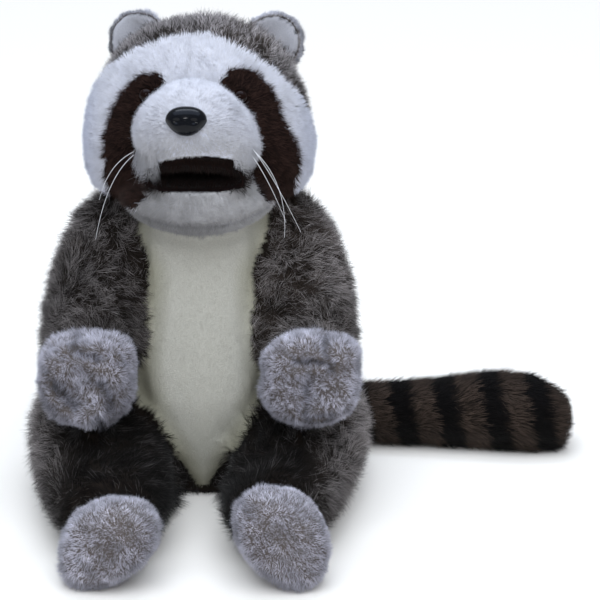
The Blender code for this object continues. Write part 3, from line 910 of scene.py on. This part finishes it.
# --- Face pile ---
# A short dense white pile on forehead, cheeks, muzzle and chin, with dark brown patches let
# in round the eyes. The nap runs outwards from the nose.
NOSE_POINT = np.array(HEAD_FRAME @ (Vector((0, -98, -33)) * MM))
SHORT = dict(
    length=5, width=0.5, lift=0.75, swirl=0.7, swirl_size=9, loose=0.5, clump=0.2, clump_count=12,
    shade=0.03, soft=0.88, flow=away_from(NOSE_POINT), slot="white_pile",
    material=pile_material("face_pile", 0.03, 0.85, 3 * MM),
)
CREASE_WIDTH = 4 * MM
CREASE_LOW = 255 * MM  # below this it doesn't show
CREASE_SHADE = 0.22
DART = (-3, 1.1, 4, 0.16)  # mm: x, width and lower end in the head's frame; and its shade

face_trees = {}
for name in ("head", "muzzle"):
    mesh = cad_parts[name].data
    face_trees[name] = BVHTree.FromPolygons(
        [vert.co for vert in mesh.vertices], [face.vertices[:] for face in mesh.polygons]
    )


def crease(points, name):
    """The shade of the crease beside that solid at each point."""
    away = np.array([face_trees[name].find_nearest(Vector(point))[3] for point in points])
    return CREASE_SHADE * (hump(away, CREASE_WIDTH) * (points[:, 2] > CREASE_LOW))


def face_tone(points):
    """Painted shade, cooler and darker, on the cheeks, with painted shade along a dart sewn down the
    forehead and in the crease beside the muzzle.
    """
    x, _, z = in_frame(points, HEAD_FRAME).T
    middle, width, low, shade = DART
    dart = shade * hump(x - middle, width) * (z > low)
    dim = 1 - (1 - dart) * (1 - crease(points, "muzzle"))
    cheek_shade = ramp(np.abs(x), 57, 73) * np.where(x < 0, 1, 0.6)
    cool_shade = np.array((0.22, 0.18, 0.08))
    return (1 - dim)[:, None] * (1 - cheek_shade[:, None] * cool_shade)


def muzzle_tone(points):
    """Warmer and darker below the nose, with painted shade and a little soil, and painted shade in the
    crease beside the head.
    """
    z = in_frame(points, HEAD_FRAME)[:, 2]
    low = ramp(z, -30, -56)[:, None]
    soil_and_shade = np.array((0.30, 0.32, 0.38))
    return (1 - low * soil_and_shade) * (1 - crease(points, "head"))[:, None]


def clear_of_lip(points):
    """The muzzle's pile is short where it ends over the mouth."""
    near = np.abs(points[:, 0] / MM - LIP[0]) < LIP[1] + 4
    return np.where(near, np.clip(0.3 + np.abs(over_lip(points)) / 16, 0.3, 1), 1)


EYE_BARE = 5.4  # mm round an eye's middle, left without pile
beside_eye = from_eye(centres) < EYE_BARE
white_cloth, mask_cloth = triangle_cloth == "white", triangle_cloth == "mask"
plant("face_pile", on("head") & white_cloth, 30000, **SHORT, shaded=face_tone)
MUZZLE = dict(SHORT, shaded=muzzle_tone, longer=clear_of_lip)
plant("muzzle_pile", on("muzzle") & ~beside_eye, 22000, **MUZZLE)
CHIN = dict(SHORT, length=3.6, width=0.4, lift=0.5, soft=1, shade=0.05, shaded=chin_tone)
plant("chin_pile", on("jaw") & white_cloth, 14000, **CHIN)
MASK = dict(SHORT, length=4.6, width=0.44, loose=0.6, shade=0.25, soft=0.3, slot="dark_brown_pile")
plant("mask_pile", on("head", "jaw") & mask_cloth & ~beside_eye, 15000, **MASK)

# The jowls hang over the corners of the mouth, lower on the toy's right. The chin's pile
# stands up over the ends of the mouth, so that the lower lip curves.
JOWL_AT = (24, 44, 243)  # mm, from and to this far out, below this height
LIP_AT = (22, 36, 208, -70)  # mm, from and to this far out, above this height, before this y


def jowl_length(points):
    """Longest in the middle of each jowl, and longer on the toy's right."""
    x = points[:, 0] / MM
    middle, half, share = (np.where(x < 0, *pair) for pair in ((-33, 32), (9, 8), (1.45, 0.6)))
    return share * np.clip(1.1 - ((x - middle) / half) ** 2 * 0.5, 0.35, 1)


def to_corners(points):
    """Longer towards the mouth's corners."""
    return ramp(np.abs(points[:, 0]) / MM, 4, 28, least=0.2)


STRAIGHT = dict(SHORT, swirl=0.2, loose=0.25, clump=0.15, spread=0.12)
DOWN, UP = steady(0, -0.25, -1), steady(0, -0.3, 1)
JOWL = dict(STRAIGHT, length=12, lift=0.3, flow=DOWN, shaded=muzzle_tone, longer=jowl_length)
LIP_PILE = dict(STRAIGHT, length=5.5, lift=0.5, flow=UP, shaded=chin_tone, longer=to_corners)
x, y, z = centres.T / MM
out = np.abs(x)
inner, outer, high = JOWL_AT
jowls = on("muzzle") & (out > inner) & (out < outer) & (z < high) & white_cloth
plant("jowl_pile", jowls, 5000, **JOWL)
inner, outer, low, front = LIP_AT
lip = on("jaw") & (out > inner) & (out < outer) & (z > low) & (y < front) & white_cloth
plant("lip_pile", lip, 1400, **LIP_PILE)

# --- Mouth ---
# The folded mouth board is covered in dark brown plush, upper and lower halves almost shut.
MOUTH = dict(SHORT, lift=0.9, slot="dark_brown_pile")
plant("mouth_pile", on("mouth_lining"), 3000, **MOUTH)

# --- Belly ---
# Shaved velour: its nap is the skin's own bump, with a thin fuzz that softens its edges.
FUZZ = dict(
    SHORT, length=1.8, width=0.4, swirl=0.3, flow=steady(0, 0, -1), shaded=belly_tone,
    cloth="cream", slot="cream_velour",
)
plant("belly_velour", triangle_cloth == "cream", 9000, **FUZZ)

# --- Paws and feet ---
# Mitts and soles are of a grey pile, brown at its roots with pale tips. It stands almost
# straight up, so that the roots show wherever it is seen end on.
def fold_tone(points):
    """Darker with painted shade in the folds and wherever the pile sinks, over patches of random tone.
    """
    patches = 1 + 0.16 * waver(points, 11 * MM, shift=4)
    return (1 - 0.7 * in_fold(points)) * (1.18 - 0.42 * lumps(points)) * patches


def uneven(points):
    return 1 + 0.3 * waver(points, 8 * MM, shift=6)


GREY = dict(
    length=3.8, width=0.36, lift=0.9, swirl=2.6, swirl_size=9, loose=0.8, clump=0.35,
    clump_count=10, shade=0.12, soft=0.6, shaded=fold_tone, longer=uneven,
    slot="pale_grey_pile", material=pile_material("grey_pile", 0.12, 0.85, 5 * MM),
)
SOLE = dict(GREY, length=3.2, clump=0.15, swirl=1.5, loose=1.2, shade=0.14)
for side in SIDES:
    for part, count, look in (("paw", 20000, GREY), ("foot", 16000, SOLE)):
        low, high = np.array(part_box(f"{part}_{side}"))
        middle = (low + high) / 2
        middle[1] = low[1]
        plant(f"{part}_{side}_pile", on(f"{part}_{side}"), count, flow=away_from(middle), **look)

# --- Ears ---
# Two half-round cups: pale velour inside, light frosted pile behind, and a dark seam
# between them near the rim.
EAR = dict(GREY, length=3.6, width=0.42, lift=0.6, swirl=0.5, loose=0.5)
LINING = dict(EAR, length=1.4, width=0.4, shade=0.03, soft=0.8, shaded=ear_tone)
fringe_cloth = triangle_cloth == "ear_fringe"
for side, ear_frame in EAR_FRAMES.items():
    to_rim = away_from(np.array(ear_frame.translation))
    plant(f"ear_{side}_pile", on(f"ear_{side}") & fringe_cloth, 6000, flow=to_rim, **EAR)
    plant(f"ear_{side}_velour", on(f"ear_{side}") & ~fringe_cloth, 3500, flow=to_rim, **LINING)

# --- Tail ---
# A blunt stuffed tube of sleek pile, near-black bands on brown, brushed to the tip.
def tail_tone(points):
    """A little darker at its end."""
    return 1 - 0.3 * ramp(points[:, 0] / MM, 205, 230)


SLEEK = dict(
    length=7.5, width=0.55, lift=0.4, swirl=0.35, loose=0.25, clump=0.4, clump_count=10,
    shade=0.14, flow=steady(1, 0, 0), shaded=tail_tone, slot="tail_pile",
    material=pile_material("banded_tail_pile", 0.03, 0.7, 6 * MM),
)
plant("tail_pile", on("tail"), 24000, **SLEEK)


# --- Nose ---
# One moulded black button with a soft ridge and two nostrils, pressed into the muzzle.
def gloss(name, colour, shine, roughness, scratch):
    """Moulded plastic with the faint unevenness of a used toy."""
    made, nodes, links, shader = new_material(name)
    shader.inputs["Base Color"].default_value = (*colour, 1)
    shader.inputs["Specular IOR Level"].default_value = shine
    place = nodes.new("ShaderNodeTexCoord")
    smudge = nodes.new("ShaderNodeTexNoise")
    smudge.inputs["Scale"].default_value = 220
    wear = nodes.new("ShaderNodeMapRange")
    wear.inputs["To Min"].default_value = roughness
    wear.inputs["To Max"].default_value = roughness + scratch
    links.new(place.outputs["Object"], smudge.inputs["Vector"])
    links.new(smudge.outputs["Fac"], wear.inputs["Value"])
    links.new(wear.outputs["Result"], shader.inputs["Roughness"])
    return made


def rounded(obj, plastic):
    """Rounds off a moulded piece and gives it its plastic."""
    obj.modifiers.new("rounding", "SUBSURF")
    apply_modifiers(obj)
    bpy.ops.object.shade_smooth()
    obj.data.materials.append(plastic)


NOSE_HALF = Vector((12.5, 7.5, 9)) * MM
NOSE_PLACE = Vector((0, -93, -33)) * MM
NOSE_FRONT = HEAD_FRAME @ (NOSE_PLACE - Vector((0, NOSE_HALF.y, 0)))
NOSE_SQUARE = 2.3  # its outline's power, where an oval's is 2
NOSE_TAPER = 0.36  # of its width, to its lower end
NOSTRIL_AT = (5.2 * MM, -1.6 * MM)  # out and up from its middle
NOSTRIL_HALF = (2.0 * MM, 1.6 * MM)
NOSTRIL_DEPTH = 1.6 * MM
GROOVE_WIDTH = 1.1 * MM
GROOVE_DEPTH = 0.8 * MM
GROOVE_TOP = -1 * MM

bpy.ops.mesh.primitive_uv_sphere_add(segments=48, ring_count=32, radius=1)
nose = bpy.context.object
nose.name = nose.data.name = "moulded_nose"
place = numbers(nose.data.vertices, "co", 3)
x, _, z = place.T.copy()
outline = (np.abs(x) ** NOSE_SQUARE + np.abs(z) ** NOSE_SQUARE) ** (1 / NOSE_SQUARE)
fuller = np.hypot(x, z) / np.maximum(outline, 1e-6)
place[:, 0] *= fuller * (1 + NOSE_TAPER * np.minimum(z, 0))
place[:, 2] *= fuller
place = place * np.array(NOSE_HALF)
for sign in SIDES.values():
    across = (place[:, 0] - sign * NOSTRIL_AT[0]) / NOSTRIL_HALF[0]
    up = (place[:, 2] - NOSTRIL_AT[1]) / NOSTRIL_HALF[1]
    nostril = NOSTRIL_DEPTH * np.exp(-(np.hypot(across, up) ** 3))
    place[:, 1] += np.where(place[:, 1] < 0, nostril, 0)
groove = hump(place[:, 0], GROOVE_WIDTH) * (place[:, 2] < GROOVE_TOP)
place[:, 1] += np.where(place[:, 1] < 0, GROOVE_DEPTH * groove, 0)
nose.data.vertices.foreach_set("co", place.astype(np.float32).ravel())
nose.data.transform(HEAD_FRAME @ Matrix.Translation(NOSE_PLACE))
nose.data.update()
rounded(nose, gloss("black_nose_plastic", (0.002, 0.0025, 0.0045), 0.2, 0.14, 0.08))
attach(nose, "root")
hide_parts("nose")

# --- Eyes ---
# Round glassy buttons, set low beside the muzzle and half lost in the mask's pile.
eye_plastic = gloss("dark_amber_plastic", (0.007, 0.002, 0.001), 0.12, 0.04, 0.03)
EYE_RADIUS = 4.7 * MM
EYE_SET = {"left": Vector((-1, -0.5, -3)) * MM, "right": Vector((1.5, -0.5, -2.5)) * MM}
for side in SIDES:
    bpy.ops.mesh.primitive_uv_sphere_add(segments=32, ring_count=20, radius=EYE_RADIUS)
    eye = bpy.context.object
    eye.name = eye.data.name = f"glass_eye_{side}"
    eye.data.transform(Matrix.Translation(EYE_CENTRES[side] + EYE_SET[side]))
    rounded(eye, eye_plastic)
    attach(eye, "root")
    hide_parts(f"eye_{side}")

# --- Whiskers ---
# Clear nylon bristles knotted inside the muzzle. They leave its sides and droop.
WHISKERS = {  # root, middle and end
    "left": (
        ((33, -82, 240), (50, -92, 218), (54, -94, 186)),
        ((33, -82, 241), (47, -94, 223), (64, -92, 189)),
        ((32, -82, 238), (44, -93, 221), (55, -92, 195)),
    ),
    "right": (
        ((-38, -78, 236), (-51, -84, 226), (-59, -87, 208)),
        ((-38, -78, 234), (-52, -86, 216), (-62, -87, 183)),
    ),
}
WHISKER_RADIUS = 0.18 * MM
WHISKER_TAPER = 0.5
WHISKER_POINTS = 14
nylon = gloss("clear_nylon", (0.75, 0.76, 0.80), 0.4, 0.2, 0.1)
for side, strands in WHISKERS.items():
    made = []
    for strand in strands:
        start, middle, end = (np.array(point) * MM for point in strand)
        steps = np.linspace(0, 1, WHISKER_POINTS)[:, None]
        bend = 2 * middle - (start + end) / 2
        line = (1 - steps) ** 2 * start + 2 * steps * (1 - steps) * bend + steps**2 * end
        bpy.ops.curve.primitive_nurbs_path_add()
        curve = bpy.context.object
        curve.data.splines.clear()
        spline = curve.data.splines.new("POLY")
        spline.points.add(len(line) - 1)
        for k, (point, place) in enumerate(zip(spline.points, line)):
            point.co = (*place, 1)
            point.radius = 1 - WHISKER_TAPER * k / (len(line) - 1)
        curve.data.dimensions = "3D"
        curve.data.bevel_depth = WHISKER_RADIUS
        curve.data.bevel_resolution = 2
        curve.data.use_fill_caps = True
        bpy.ops.object.convert(target="MESH")
        made.append(bpy.context.object)
    whiskers = joined(made, f"whiskers_{side}")
    bpy.ops.object.shade_smooth()
    whiskers.data.materials.append(nylon)
    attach(whiskers, "root")

# --- Floor and light ---
# A pale seamless floor, a broad cool light overhead and in front, and a pale surround.
bpy.ops.mesh.primitive_plane_add(size=14, location=(0, 3, 0))
floor = bpy.context.object
floor.name = floor.data.name = "floor"
paper, _, _, shader = new_material("white_paper")
shader.inputs["Base Color"].default_value = (0.95, 0.92, 0.885, 1)
shader.inputs["Roughness"].default_value = 0.9
floor.data.materials.append(paper)

# Two of the lights show only in the moulded plastic: a window in front, and the open sky.
WINDOW_AT = Vector((-0.15, -1.30, 1.15))
to_nose = (WINDOW_AT - NOSE_FRONT).to_track_quat("Z", "Y").to_euler()
SKY_SPREAD = math.radians(60)
LIGHTS = (  # name, power, place, turn, sides, colour, and what it doesn't show in
    ("sky", 2.7, (0, -1, 2), (math.radians(30), 0, 0), None, (0.90, 0.95, 1.0), "gloss"),
    ("front", 6, (0.4, -1.9, 0.7), (math.radians(74), 0, 0.2), (1.2, 1.2), (1, 1, 1), "gloss"),
    ("top", 5, (0, 0.25, 1.3), (math.radians(-12), 0, 0), (1.2, 0.3), (0.80, 0.88, 1.0), None),
    ("window", 5, WINDOW_AT, to_nose, (0.2, 0.2), (1, 1, 1), "cloth"),
    ("open_sky", 11, (0, -0.2, 1.6), (0, 0, 0), (2.4, 0.9), (0.62, 0.74, 1.0), "cloth"),
)
for name, power, place, turned, sides, colour, hidden in LIGHTS:
    bpy.ops.object.light_add(type="AREA" if sides else "SUN", location=place, rotation=turned)
    light = bpy.context.object
    light.name = f"light_{name}"
    light.data.energy = power
    light.data.color = colour
    light.visible_glossy = hidden != "gloss"
    light.visible_diffuse = hidden != "cloth"
    if sides:
        light.data.shape = "RECTANGLE"
        light.data.size, light.data.size_y = sides
    else:
        light.data.angle = SKY_SPREAD

world = bpy.data.worlds.new("surround")
world.use_nodes = True
background = world.node_tree.nodes["Background"]
background.inputs["Color"].default_value = (0.88, 0.93, 1.0, 1)
background.inputs["Strength"].default_value = 0.4
bpy.context.scene.world = world
bpy.context.scene.view_settings.view_transform = "Standard"
